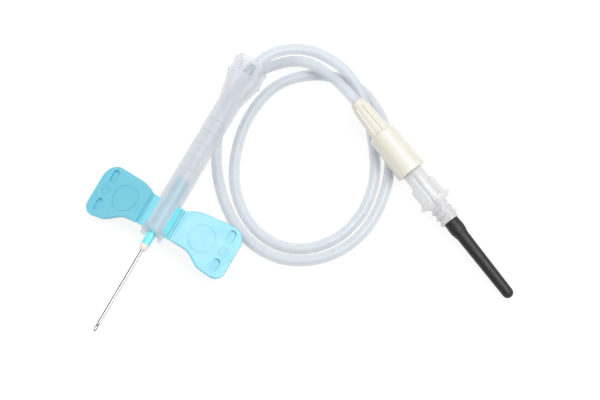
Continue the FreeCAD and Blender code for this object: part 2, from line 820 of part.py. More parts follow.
def make_female_luer():
    """Cream female luer connector: finned grip that holds the tubing, body with a luer taper."""
    body = make_body("female_luer")
    sketch = make_sketch(body, "Profile", "XZ_Plane")
    add_outline(
        sketch,
        [
            ("0", TUBE_SOCKET),
            ("luer_socket_depth", TUBE_SOCKET),
            ("luer_socket_depth", "luer_flow_bore / 2"),
            (LUER_FLOOR, "luer_flow_bore / 2"),
            (LUER_FLOOR, "luer_mouth / 2 - luer_depth * luer_taper / 2"),
            ("luer_length", "luer_mouth / 2"),
            ("luer_length", "luer_body_end / 2 - luer_edge", "luer_edge", 1),
            ("luer_length - luer_edge", "luer_body_end / 2"),
            ("luer_length - luer_band", "luer_body_end / 2"),
            ("luer_length - luer_band", "luer_body_end / 2 - luer_band_step"),
            ("luer_grip_length + luer_edge", "luer_body_start / 2", "luer_edge", 1),
            ("luer_grip_length", "luer_body_start / 2 - luer_edge"),
            ("luer_grip_length", LUER_GRIP + " + luer_grip_rise"),
            ("luer_edge", LUER_GRIP, "luer_edge", 1),
            ("0", LUER_GRIP + " - luer_edge"),
        ],
    )
    revolve(body, "Revolution", sketch)
    fin = make_sketch(body, "GripFin", "XZ_Plane", roll="grip_fin_roll")
    add_outline(
        fin,
        [
            ("grip_fin_setback", LUER_GRIP + " - luer_grip_wall / 2"),
            ("luer_grip_length + luer_edge", LUER_GRIP + " - luer_grip_wall / 2"),
            ("luer_grip_length + luer_edge", LUER_GRIP + " + grip_fin_high"),
            ("grip_fin_setback", LUER_GRIP + " + grip_fin_low"),
        ],
    )
    repeat_fin(body, fin, "grip_fin_width", symmetric=True)
    lay_on_connector_axis(body)


def make_luer_adapter():
    """Clear luer adapter: male taper, four fins, round flange, threaded root and sleeve stub."""
    body = make_body("luer_adapter")
    nose = "(luer_length - taper_insert)"
    taper_radius = "(luer_mouth / 2 - taper_gap + (%s - luer_length) * luer_taper / 2)"
    sketch = make_sketch(body, "Profile", "XZ_Plane")
    add_outline(
        sketch,
        [
            (nose, "luer_flow_bore / 2"),
            (FLANGE_BACK + " - rear_needle_inset", "luer_flow_bore / 2"),
            (FLANGE_BACK + " - rear_needle_inset", "rear_needle_diameter / 2"),
            (THREAD_END + " + stub_length", "rear_needle_diameter / 2"),
            (THREAD_END + " + stub_length", "stub_diameter / 2"),
            (THREAD_END, "stub_diameter / 2"),
            (THREAD_END, "thread_root_diameter / 2"),
            (FLANGE_FRONT + " + collar_step_length", "thread_root_diameter / 2"),
            (FLANGE_FRONT, "collar_step_diameter / 2"),
            (FLANGE_FRONT, "flange_diameter / 2 - flange_round", "flange_round", -1),
            (FLANGE_FRONT + " - flange_round", "flange_diameter / 2"),
            (FLANGE_BACK + " + flange_round", "flange_diameter / 2", "flange_round", -1),
            (FLANGE_BACK, "flange_diameter / 2 - flange_round"),
            (FLANGE_BACK, taper_radius % FLANGE_BACK),
            (nose, taper_radius % nose),
        ],
    )
    revolve(body, "Revolution", sketch)
    half_width = "(adapter_fin_width / 2)"
    nose_centre = "(%s - adapter_fin_length + %s)" % (FLANGE_BACK, half_width)
    flange_middle = "(%s + flange_thickness / 2)" % FLANGE_BACK
    fin = make_sketch(body, "Fin", "XY_Plane", lift="luer_mouth / 4", roll="adapter_fin_roll")
    add_outline(
        fin,
        [
            (flange_middle, half_width),
            (nose_centre, half_width, half_width, 1),
            (nose_centre, "-" + half_width),
            (flange_middle, "-" + half_width),
        ],
    )
    repeat_fin(body, fin, "adapter_fin_diameter / 2 - luer_mouth / 4")
    lay_on_connector_axis(body)


def make_rear_cannula():
    """Holder-side cannula, bonded in the adapter and hidden in its sleeve."""
    body = make_body("rear_cannula")
    tip = "(%s - sleeve_tip_wall - sleeve_bore_gap)" % SLEEVE_TIP
    start = "(%s - rear_needle_inset)" % FLANGE_BACK
    sketch = make_sketch(body, "Wall", "XZ_Plane")
    add_outline(
        sketch,
        [
            (start, "rear_needle_bore / 2"),
            (tip, "rear_needle_bore / 2"),
            (tip, "rear_needle_diameter / 2"),
            (start, "rear_needle_diameter / 2"),
        ],
    )
    revolve(body, "Revolution", sketch)
    add_bevel(body, "Bevel", tip, "rear_bevel_length", "rear_needle_diameter")
    lay_on_connector_axis(body)


def make_rubber_sleeve():
    """Closed rubber sleeve, stretched over the adapter's stub and round the rear cannula."""
    body = make_body("rubber_sleeve")
    bore = "(rear_needle_diameter / 2 + sleeve_bore_gap)"
    tip_radius = "(sleeve_tip_diameter / 2)"
    waist = "(%s + sleeve_waist_position)" % THREAD_END
    bulge = "(%s + sleeve_bulge_position)" % THREAD_END
    neck_length = "(sleeve_waist_position - sleeve_bulge_position)"
    neck_drop = "(%s - sleeve_waist_diameter / 2)" % SLEEVE_BULGE
    neck_radius = "((%s^2 + %s^2) / (4 * %s))" % (neck_length, neck_drop, neck_drop)
    sketch = make_sketch(body, "Profile", "XZ_Plane")
    add_outline(
        sketch,
        [
            (THREAD_END, "stub_diameter / 2"),
            (THREAD_END + " + stub_length", "stub_diameter / 2"),
            (THREAD_END + " + stub_length", bore),
            (SLEEVE_TIP + " - sleeve_tip_wall", bore),
            (SLEEVE_TIP + " - sleeve_tip_wall", "0"),
            (SLEEVE_TIP, "0", tip_radius, 1),
            (SLEEVE_TIP + " - " + tip_radius, tip_radius),
            (waist, "sleeve_waist_diameter / 2", neck_radius, -1),
            (
                "(%s + %s) / 2" % (waist, bulge),
                "(%s + sleeve_waist_diameter / 2) / 2" % SLEEVE_BULGE,
                neck_radius,
                1,
            ),
            (bulge, SLEEVE_BULGE),
            (THREAD_END, SLEEVE_MOUTH),
        ],
    )
    revolve(body, "Revolution", sketch)
    lay_on_connector_axis(body)


def connector_point(distance):
    """Return the point at a distance along the connector's axis from its rear end."""
    height = size_of("connector_height - axis_height")
    start = Vector(size_of("connector_x"), size_of("connector_y"), height)
    turn = Rotation(size_of("connector_yaw"), size_of("connector_dip"), 0)
    return start + turn.multVec(Vector(distance, 0, 0))


def rounded_route(points):
    """Return edges of straight runs joined by tangent arcs, and the arcs' radii."""
    edges = []
    radii = []
    start = points[0]
    for before, corner, after in zip(points, points[1:], points[2:]):
        back = before - corner
        ahead = after - corner
        tangent = ARC_SHARE * min(back.Length, ahead.Length)
        half_turn = (math.pi - back.getAngle(ahead)) / 2
        radii.append(tangent / math.tan(half_turn))
        back.normalize()
        ahead.normalize()
        entry = corner + back * tangent
        leave = corner + ahead * tangent
        inward = (back + ahead).normalize()
        to_centre = radii[-1] / math.cos(half_turn)
        middle = corner + inward * (to_centre - radii[-1])
        edges.append(Part.LineSegment(start, entry).toShape())
        edges.append(Part.Arc(entry, middle, leave).toShape())
        start = leave
    edges.append(Part.LineSegment(start, points[-1]).toShape())
    return edges, radii


def make_tubing():
    """Soft tubing from the hub's socket to the connector's, along straight runs and tangent arcs."""
    radius = size_of("tube_diameter / 2")
    rest = radius - size_of("axis_height")
    points = [
        Vector(size_of(SOCKET_FLOOR), 0, 0),
        Vector(size_of(SHIELD_REAR + " - tube_straight"), 0, 0),
    ]
    for x, y, height in TUBE_ROUTE:
        points.append(Vector(x, y, rest + height))
    points.append(connector_point(TUBE_APPROACH))
    points.append(connector_point(size_of("luer_socket_depth")))
    edges, radii = rounded_route(points)
    path = Part.Wire(edges)
    section = Part.Wire(Part.Circle(points[0], points[1] - points[0], radius).toShape())
    solid = path.makePipeShell([section], True, False)
    expected = math.pi * radius * radius * path.Length
    print("tubing length %.1f, volume %.2f of %.2f expected" % (path.Length, solid.Volume, expected))
    print("tubing radii " + " ".join("%.1f" % value for value in radii))
    feature = doc.addObject("Part::Feature", "tubing")
    feature.Label = "tubing"
    feature.Shape = solid


make_needle_cannula()
make_needle_bond()
make_needle_hub()
make_wing("left_wing", "", "-left_droop")
make_wing("right_wing", "-", "right_droop")
make_safety_shield()
make_tubing()
make_female_luer()
make_luer_adapter()
make_rear_cannula()
make_rubber_sleeve()
doc.recompute()

NODES = [
    "needle_cannula",
    "needle_bond",
    "needle_hub",
    "left_wing",
    "right_wing",
    "safety_shield",
    "tubing",
    "female_luer",
    "luer_adapter",
    "rear_cannula",
    "rubber_sleeve",
]

for item in doc.Objects:
    if any(flag in item.State for flag in ("Invalid", "Error")):
        raise RuntimeError("%s failed: %s" % (item.Name, item.State))

os.makedirs("parts", exist_ok=True)
for node in NODES:
    shape = doc.getObjectsByLabel(node)[0].Shape
    if shape.isNull() or not shape.isValid() or not shape.Solids:
        raise RuntimeError("%s has no valid solid" % node)
    shape.exportStep("parts/%s.step" % node)
    print("%s: %d solid, %.3f mm3" % (node, len(shape.Solids), shape.Volume))
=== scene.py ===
"""Looks of a winged blood collection set: needle, wings, shield, tubing, connector, adapter.

Everything is in metres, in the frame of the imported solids: +X runs along the needle towards
its tip, +Z is up, and the set lies on a table just below it.
"""

import json
import logging
import math
from collections.abc import Iterable, Sequence
from dataclasses import dataclass, field
from enum import Enum

import bpy
from mathutils import Matrix, Vector

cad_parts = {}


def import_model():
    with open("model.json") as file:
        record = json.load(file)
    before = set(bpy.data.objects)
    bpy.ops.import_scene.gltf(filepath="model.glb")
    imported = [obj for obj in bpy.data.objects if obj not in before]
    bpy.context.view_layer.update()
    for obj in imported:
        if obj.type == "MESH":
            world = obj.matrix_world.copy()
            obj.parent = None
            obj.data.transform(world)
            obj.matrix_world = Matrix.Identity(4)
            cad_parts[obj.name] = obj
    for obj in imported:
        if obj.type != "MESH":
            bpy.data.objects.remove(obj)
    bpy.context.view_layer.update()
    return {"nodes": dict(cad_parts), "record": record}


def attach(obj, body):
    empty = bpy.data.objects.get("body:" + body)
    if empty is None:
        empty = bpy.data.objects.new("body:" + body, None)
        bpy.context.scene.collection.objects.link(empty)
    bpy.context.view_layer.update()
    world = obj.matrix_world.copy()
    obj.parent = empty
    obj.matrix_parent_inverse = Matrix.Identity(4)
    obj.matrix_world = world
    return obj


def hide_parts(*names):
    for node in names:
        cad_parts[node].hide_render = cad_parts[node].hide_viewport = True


log = logging.getLogger("collection_set")

MM = 0.001
TABLE = -6.25 * MM
# Radius that keeps a ring of points at a tip from falling together
HAIR = 0.0001 * MM

# Noise values between which nearly all of a noise texture lies
NOISE_MIDDLE = (0.3, 0.7)
NOISE_OCTAVES = 3.0
# A shader's mix node takes its two colours, and gives its result, at these places
FIRST_COLOUR, SECOND_COLOUR, MIXED_COLOUR = 6, 7, 2
WHITE = (1.0, 1.0, 1.0, 1.0)

Colour = tuple[float, float, float, float]


def paint(red: int, green: int, blue: int) -> Colour:
    """Turn a colour as seen on a screen into the linear one that shaders take.

    Args:
        red: Red from 0 to 255.
        green: Green from 0 to 255.
        blue: Blue from 0 to 255.

    Returns:
        The linear colour with an alpha of 1.
    """

    def linear(channel: int) -> float:
        share = channel / 255
        if share <= 0.04045:
            return share / 12.92
        return ((share + 0.055) / 1.055) ** 2.4

    return (linear(red), linear(green), linear(blue), 1.0)


class Pattern(Enum):
    """How a finish varies over a surface."""

    CLOUDED = "clouded"
    DRAWN = "drawn along the length"


class ShaderGraph:
    """The node tree of a material or world, with short ways to add nodes and join them."""

    def __init__(self, owner: bpy.types.Material | bpy.types.World, output: str) -> None:
        """Empty the owner's node tree and give it an output.

        Args:
            owner: The material or world.
            output: The output node's type.
        """
        owner.use_nodes = True
        self.owner = owner
        self.tree = owner.node_tree
        self.tree.nodes.clear()
        self.output = self.add(output)

    @classmethod
    def of_material(cls, name: str) -> "ShaderGraph":
        """Start an empty material of the given name."""
        return cls(bpy.data.materials.new(name), "ShaderNodeOutputMaterial")

    @classmethod
    def of_world(cls, name: str) -> "ShaderGraph":
        """Start an empty world of the given name and make it the scene's."""
        graph = cls(bpy.data.worlds.new(name), "ShaderNodeOutputWorld")
        bpy.context.scene.world = graph.owner
        return graph

    def add(self, kind: str, **values: object) -> bpy.types.Node:
        """Add a node and set its sockets or its own options.

        Args:
            kind: The node's type.
            **values: Socket names, with underscores for spaces, or the node's own options.

        Returns:
            The node.
        """
        node = self.tree.nodes.new(kind)
        for key, value in values.items():
            socket = node.inputs.get(key.replace("_", " "))
            if socket is None:
                setattr(node, key, value)
            else:
                socket.default_value = value
        return node

    def join(self, source: bpy.types.NodeSocket, target: bpy.types.NodeSocket) -> None:
        """Join an output to an input."""
        self.tree.links.new(source, target)

    def noise(self, grain: float, stretch: Vector) -> bpy.types.Node:
        """Add noise that is fixed to the object.

        Args:
            grain: Size of one blotch, in metres.
            stretch: How many times finer the noise is along X, Y and Z.

        Returns:
            The noise node.
        """
        place = self.add("ShaderNodeTexCoord")
        mapping = self.add("ShaderNodeMapping", Scale=stretch)
        noise = self.add("ShaderNodeTexNoise", Scale=1 / grain, Detail=NOISE_OCTAVES)
        self.join(place.outputs["Object"], mapping.inputs["Vector"])
        self.join(mapping.outputs["Vector"], noise.inputs["Vector"])
        return noise

    def spread(self, noise: bpy.types.Node, low: float, high: float) -> bpy.types.NodeSocket:
        """Spread a noise's middle over a range.

        Args:
            noise: The noise node.
            low: What the noise's dark parts become.
            high: What its bright parts become.

        Returns:
            The output that carries the value.
        """
        least, most = NOISE_MIDDLE
        spread = self.add(
            "ShaderNodeMapRange", From_Min=least, From_Max=most, To_Min=low, To_Max=high
        )
        self.join(noise.outputs["Fac"], spread.inputs["Value"])
        return spread.outputs["Result"]

    def seen(self) -> bpy.types.NodeSocket:
        """Return 1 for rays that show what they hit, and 0 for those that only light it."""
        path = self.add("ShaderNodeLightPath")
        share = path.outputs["Is Camera Ray"]
        for kind in ("Is Glossy Ray", "Is Transmission Ray"):
            either = self.add("ShaderNodeMath", operation="MAXIMUM")
            self.join(share, either.inputs[0])
            self.join(path.outputs[kind], either.inputs[1])
            share = either.outputs["Value"]
        return share


@dataclass(frozen=True)
class Finish:
    """A moulded, drawn or dipped surface: two close tones, a skin grain and a gloss."""

    name: str
    tone: Colour
    second_tone: Colour
    roughness: float
    roughness_swing: float = 0.05
    metallic: float = 0.0
    ior: float = 1.49
    subsurface: float = 0.0
    scatter_depth: float = 0.6 * MM
    coat: float = 0.0
    opacity: float = 1.0
    # Painted shade: a darker, deeper tone laid on corners and grooves by ambient occlusion
    painted_shade_tone: Colour | None = None
    painted_shade_reach: float = 0.45 * MM
    # Openness at which the painted shade is full, and at which none of it is left
    painted_shade_range: tuple[float, float] = (0.25, 0.85)
    painted_shade_samples: int = 12
    cloud_size: float = 4.0 * MM
    grain_size: float = 0.35 * MM
    grain_height: float = 0.004 * MM
    pattern: Pattern = Pattern.CLOUDED
    drawn_axis: Vector = field(default_factory=lambda: Vector((1, 0, 0)))
    drawn_out: float = 0.97

    def stretch(self) -> Vector:
        """Return how the pattern is stretched: evenly, or long along the drawing direction."""
        if self.pattern is Pattern.CLOUDED:
            return Vector((1, 1, 1))
        return Vector((1, 1, 1)) - self.drawn_axis * self.drawn_out

    def with_painted_shade(self, graph: ShaderGraph, colour: bpy.types.NodeSocket) -> bpy.types.NodeSocket:
        """Paint shade: darken a colour to the painted shade tone where the surface is closed in.

        Args:
            graph: The material's graph.
            colour: The colour on open surfaces.

        Returns:
            The output that carries the colour.
        """
        opening = graph.add(
            "ShaderNodeAmbientOcclusion", samples=self.painted_shade_samples, Distance=self.painted_shade_reach
        )
        closed, clear = self.painted_shade_range
        share = graph.add(
            "ShaderNodeMapRange", From_Min=closed, From_Max=clear, To_Min=1.0, To_Max=0.0
        )
        mix = graph.add("ShaderNodeMix", data_type="RGBA")
        mix.inputs[SECOND_COLOUR].default_value = self.painted_shade_tone
        graph.join(opening.outputs["AO"], share.inputs["Value"])
        graph.join(share.outputs["Result"], mix.inputs["Factor"])
        graph.join(colour, mix.inputs[FIRST_COLOUR])
        return mix.outputs[MIXED_COLOUR]

    def material(self) -> bpy.types.Material:
        """Build the finish as a material.

        Returns:
            The material.
        """
        graph = ShaderGraph.of_material(self.name)
        shader = graph.add(
            "ShaderNodeBsdfPrincipled",
            Metallic=self.metallic,
            IOR=self.ior,
            Subsurface_Weight=self.subsurface,
            Subsurface_Radius=Vector((1.0, 1.0, 1.0)),
            Subsurface_Scale=self.scatter_depth,
            Coat_Weight=self.coat,
            Alpha=self.opacity,
        )
        cloud = graph.noise(self.cloud_size, self.stretch())
        tones = graph.add("ShaderNodeMix", data_type="RGBA")
        tones.inputs[FIRST_COLOUR].default_value = self.tone
        tones.inputs[SECOND_COLOUR].default_value = self.second_tone
        graph.join(graph.spread(cloud, 0.0, 1.0), tones.inputs["Factor"])
        colour = tones.outputs[MIXED_COLOUR]
        # Painted shade: the colour darkens where ambient occlusion finds the surface closed in
        if self.painted_shade_tone is not None:
            colour = self.with_painted_shade(graph, colour)
        graph.join(colour, shader.inputs["Base Color"])
        grain = graph.noise(self.grain_size, self.stretch())
        gloss = graph.spread(
            cloud, self.roughness - self.roughness_swing, self.roughness + self.roughness_swing
        )
        graph.join(gloss, shader.inputs["Roughness"])
        relief = graph.add("ShaderNodeBump", Strength=1.0, Distance=self.grain_height)
        graph.join(grain.outputs["Fac"], relief.inputs["Height"])
        graph.join(relief.outputs["Normal"], shader.inputs["Normal"])
        graph.join(shader.outputs["BSDF"], graph.output.inputs["Surface"])
        return graph.owner


@dataclass(frozen=True)
class Axis:
    """A straight axis: a point on it, its direction, and two directions across it."""

    origin: Vector
    along: Vector

    def across(self) -> tuple[Vector, Vector]:
        """Return the level direction across the axis and the one that points upwards."""
        level = Vector((0, 0, 1)).cross(self.along).normalized()
        return level, self.along.cross(level)

    def point(self, distance: float, radius: float = 0.0, angle: float = 0.0) -> Vector:
        """Return a point beside the axis.

        Args:
            distance: How far along the axis.
            radius: How far from it.
            angle: Which way round, in radians, from the level direction.

        Returns:
            The point.
        """
        level, upward = self.across()
        outward = level * math.cos(angle) + upward * math.sin(angle)
        return self.origin + self.along * distance + outward * radius


def make_mesh(
    name: str,
    points: Sequence[Vector],
    faces: Iterable[Sequence[int]],
    crease: float = 35.0,
) -> bpy.types.Object:
    """Make a smooth-shaded mesh object whose edges stay sharp above an angle.

    Args:
        name: The piece's name.
        points: Its points.
        faces: Its faces, as indices of points.
        crease: The angle between faces, in degrees, from which an edge is sharp.

    Returns:
        The object.
    """
    mesh = bpy.data.meshes.new(name)
    mesh.from_pydata([tuple(point) for point in points], [], [tuple(face) for face in faces])
    mesh.validate()
    mesh.shade_smooth()
    mesh.set_sharp_from_angle(angle=math.radians(crease))
    piece = bpy.data.objects.new(name, mesh)
    bpy.context.scene.collection.objects.link(piece)
    return piece


def join_rings(rings: int, around: int, closed: bool = False) -> list[tuple[int, int, int, int]]:
    """Return the faces between rings of points that follow one another.

    Args:
        rings: Number of rings.
        around: Number of points in each ring.
        closed: Whether the last ring joins the first.

    Returns:
        The faces, as indices of points.
    """
    faces = []
    for ring in range(rings if closed else rings - 1):
        here = ring * around
        there = (ring + 1) % rings * around
        for step in range(around):
            after = (step + 1) % around
            faces.append((here + step, here + after, there + after, there + step))
    return faces


def turn_profile(
    name: str, axis: Axis, profile: Sequence[tuple[float, float]], around: int = 64
) -> bpy.types.Object:
    """Turn an outline about an axis into a closed piece.

    Args:
        name: The piece's name.
        axis: The axis.
        profile: Distances along the axis and radii; it is closed from the last to the first.
        around: Number of points in each ring.

    Returns:
        The piece.
    """
    points = []
    for distance, radius in profile:
        for step in range(around):
            points.append(axis.point(distance, radius, math.tau * step / around))
    return make_mesh(name, points, join_rings(len(profile), around, closed=True))


def ease(share: float) -> float:
    """Return a soft step that rises from 0 at 0 to 1 at 1, and is back at 0 at 2."""
    return 0.5 - 0.5 * math.cos(math.pi * share)


def dress(piece: bpy.types.Object, material: bpy.types.Material) -> None:
    """Give a piece one material."""
    piece.data.materials.clear()
    piece.data.materials.append(material)


@dataclass
class Tubing:
    """The soft clear tube, swept hollow along its lay on the table."""

    diameter: float = 2.2 * MM
    bore: float = 1.25 * MM
    length: float = 287.9 * MM
    around: int = 28
    steps: int = 14
    start: Vector = field(default_factory=lambda: Vector((-8.2, 0, 0)) * MM)
    # The straight stretch in the shield, as x on the needle's axis
    straight: tuple[float, ...] = (-28.2, -42.3)
    # The lay past the shield, in millimetres: x, y and the height over where it rests
    lay: tuple[tuple[float, float, float], ...] = (
        (-49.3, 6.7, 4.05),
        (-50.0, 15.7, 2.95),
        (-46.5, 22.4, 2.55),
        (-40.0, 28.5, 0.65),
        (-32.8, 33.2, 0.0),
        (-24.2, 34.5, 0.0),
        (-16.2, 31.7, 0.0),
        (-11.0, 25.4, 0.0),
        (-10.8, 17.2, 0.0),
        (-15.6, 9.8, 0.0),
        (-23.1, 5.4, 0.0),
        (-32.1, 3.6, 0.0),
        (-40.9, 5.3, 0.0),
        (-46.9, 11.6, 0.0),
        (-48.9, 20.3, 0.0),
        (-44.8, 28.6, 0.0),
        (-37.5, 34.2, 0.0),
        (-29.0, 36.8, 0.0),
        (-20.4, 36.5, 0.0),
        (-12.6, 32.1, 0.0),
        (-8.1, 24.4, 0.0),
        (-8.6, 15.8, 0.0),
        (-13.4, 8.2, 0.0),
        (-20.4, 2.4, 0.0),
        (-28.8, -1.1, 0.0),
        (-37.4, -1.4, 0.0),
        (-43.8, 2.7, 0.35),
        (-47.0, 8.0, 2.75),
        (-46.8, 13.3, 3.65),
    )
    # Where it comes onto the connector's axis and where it ends there, from the luer's mouth
    approach: float = -21.4 * MM
    seat: float = -14.4 * MM

    def route(self, connector: Axis) -> list[Vector]:
        """Return the control points of the tube's centreline.

        Args:
            connector: The connector's axis, from its mouth.

        Returns:
            The points, from the hub's socket to the connector's.
        """
        rest = TABLE + self.diameter / 2
        points = [self.start]
        points += [Vector((x * MM, 0, 0)) for x in self.straight]
        points += [Vector((x * MM, y * MM, rest + height * MM)) for x, y, height in self.lay]
        points += [connector.point(self.approach), connector.point(self.seat)]
        return points

    def centreline(self, route: Sequence[Vector]) -> list[Vector]:
        """Return points along the smooth curve that the route controls."""
        curve = bpy.data.curves.new("lay_line", "CURVE")
        curve.dimensions = "3D"
        spline = curve.splines.new("NURBS")
        spline.points.add(len(route) - 1)
        for control, place in zip(spline.points, route):
            control.co = (*place, 1.0)
        spline.order_u = 3
        spline.use_endpoint_u = True
        spline.resolution_u = self.steps
        holder = bpy.data.objects.new("lay_line", curve)
        mesh = bpy.data.meshes.new_from_object(holder)
        line = [vertex.co.copy() for vertex in mesh.vertices]
        bpy.data.objects.remove(holder)
        bpy.data.curves.remove(curve)
        bpy.data.meshes.remove(mesh)
        return line

    def build(self, connector: Axis) -> bpy.types.Object:
        """Args:
            connector: The connector's axis, from its mouth.

        Returns:
            The tube.
        """
        line = self.centreline(self.route(connector))
        rings = []
        outward = Vector((0, 1, 0))
        for index, place in enumerate(line):
            before = line[max(index - 1, 0)]
            after = line[min(index + 1, len(line) - 1)]
            heading = (after - before).normalized()
            outward = (outward - heading * outward.dot(heading)).normalized()
            rings.append((place, outward.copy(), heading.cross(outward)))
        points = []
        for radius, ordered in ((self.diameter / 2, rings), (self.bore / 2, rings[::-1])):
            for place, first, second in ordered:
                for step in range(self.around):
                    angle = math.tau * step / self.around
                    outward = first * math.cos(angle) + second * math.sin(angle)
                    points.append(place + outward * radius)
        piece = make_mesh("soft_tube", points, join_rings(2 * len(rings), self.around, closed=True))
        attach(piece, "hub")
        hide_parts("tubing")
        return piece


@dataclass
class HolderThread:
    """The coarse thread by which the adapter screws into a tube holder."""

    start: float = 8.75 * MM
    turns: float = 2.8
    pitch: float = 1.4 * MM
    root_radius: float = 1.9 * MM
    crest_radius: float = 2.33 * MM
    foot: float = 1.05 * MM
    crest: float = 0.22 * MM
    sunk: float = 0.08 * MM
    # Where the ridge's side bends, as shares of its half foot or half crest, and of its height
    toe: tuple[float, float] = (0.8, 0.12)
    shoulder: tuple[float, float] = (1.5, 0.86)
    flat: float = 0.6
    # At its ends the ridge runs out, over a share of its length, to a low and narrow stub
    fade: float = 0.12
    end_height: float = 0.04
    end_foot: float = 0.35
    steps_per_turn: int = 72

    def section(self, height: float) -> list[tuple[float, float]]:
        """Return the ridge's section as offsets along the axis and radii.

        Args:
            height: Share of the full height that the ridge has here.

        Returns:
            The section's points, from one foot over the crest to the other.
        """
        rise = (self.crest_radius - self.root_radius) * height
        low = self.root_radius - self.sunk
        half = self.foot / 2 * (self.end_foot + (1 - self.end_foot) * height)
        crest = self.crest / 2
        side = [
            (crest * self.flat, self.root_radius + rise),
            (crest * self.shoulder[0], self.root_radius + rise * self.shoulder[1]),
            (half * self.toe[0], self.root_radius + rise * self.toe[1]),
            (half, low),
        ]
        return [(-offset, radius) for offset, radius in reversed(side)] + side

    def build(self, axis: Axis) -> bpy.types.Object:
        """Wind the ridge about the adapter's axis.

        Args:
            axis: The axis, from the luer's mouth.

        Returns:
            The thread.
        """
        steps = round(self.turns * self.steps_per_turn)
        points = []
        for step in range(steps + 1):
            share = step / steps
            ends = min(share, 1 - share) / self.fade
            swell = math.sin(math.pi / 2 * min(ends, 1.0))
            height = swell * (1 - self.end_height) + self.end_height
            angle = math.tau * self.turns * share
            middle = self.start + self.pitch * self.turns * share
            section = self.section(height)
            points += [axis.point(middle + offset, radius, angle) for offset, radius in section]
        around = len(self.section(1.0))
        faces = join_rings(steps + 1, around)
        faces.append(tuple(reversed(range(around))))
        faces.append(tuple(range(steps * around, (steps + 1) * around)))
        piece = make_mesh("holder_thread", points, faces, crease=50.0)
        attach(piece, "adapter")
        return piece


@dataclass
class RubberBoot:
    """The dipped rubber sleeve: ringed mouth, swell over the stub, waist and domed end."""

    start: float = 12.6 * MM
    length: float = 19.6 * MM
    mouth_radius: float = 1.575 * MM
    swell_radius: float = 1.65 * MM
    swell_at: float = 2.2 * MM
    waist_at: float = 4.2 * MM
    waist_radius: float = 1.325 * MM
    tip_radius: float = 1.15 * MM
    bore_radius: float = 1.02 * MM
    rings: int = 4
    ring_pitch: float = 0.34 * MM
    ring_depth: float = 0.035 * MM
    lip_round: float = 0.06 * MM
    # Inside, the bore reaches past the stub and narrows round the needle
    bore_depth: float = 2.6 * MM
    throat_depth: float = 3.0 * MM
    throat_radius: float = 0.5 * MM
    tip_bore: float = 0.4 * MM
    # Spacing of the outline's points, by the rings and beyond them
    fine_step: float = 0.04 * MM
    long_step: float = 0.4 * MM
    dome_steps: int = 12

    def outline(self) -> list[tuple[float, float]]:
        """Return the outline along the axis from the mouth to the closed tip."""
        profile = [
            (self.fine_step / 2, self.bore_radius),
            (0.0, self.mouth_radius - self.lip_round),
        ]
        along = self.fine_step
        ringed = self.rings * self.ring_pitch + self.long_step / 2
        centre = self.length - self.tip_radius
        while along < centre:
            profile.append((along, self.radius_at(along)))
            along += self.fine_step if along < ringed else self.long_step
        for step in range(self.dome_steps + 1):
            angle = math.pi / 2 * step / self.dome_steps
            radius = self.tip_radius * math.cos(angle) + HAIR
            profile.append((centre + self.tip_radius * math.sin(angle), radius))
        profile.append((centre, self.tip_bore))
        profile.append((self.throat_depth, self.throat_radius))
        profile.append((self.bore_depth, self.bore_radius))
        return [(self.start + along, radius) for along, radius in profile]

    def radius_at(self, along: float) -> float:
        """Return the outer radius at a distance from the mouth."""
        if along < self.swell_at:
            share = math.sin(math.pi / 2 * along / self.swell_at)
            radius = self.mouth_radius + (self.swell_radius - self.mouth_radius) * share
            last = self.rings * self.ring_pitch
            if along < last:
                radius -= self.ring_depth * ease(along / self.ring_pitch * 2)
            return radius
        if along < self.waist_at:
            share = (along - self.swell_at) / (self.waist_at - self.swell_at)
            return self.swell_radius + (self.waist_radius - self.swell_radius) * ease(share)
        share = (along - self.waist_at) / (self.length - self.tip_radius - self.waist_at)
        return self.waist_radius + (self.tip_radius - self.waist_radius) * share

    def build(self, axis: Axis) -> bpy.types.Object:
        """Turn the sleeve about the adapter's axis.

        Args:
            axis: The axis, from the luer's mouth.

        Returns:
            The sleeve.
        """
        piece = turn_profile("rubber_boot", axis, self.outline())
        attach(piece, "adapter")
        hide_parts("rubber_sleeve")
        return piece


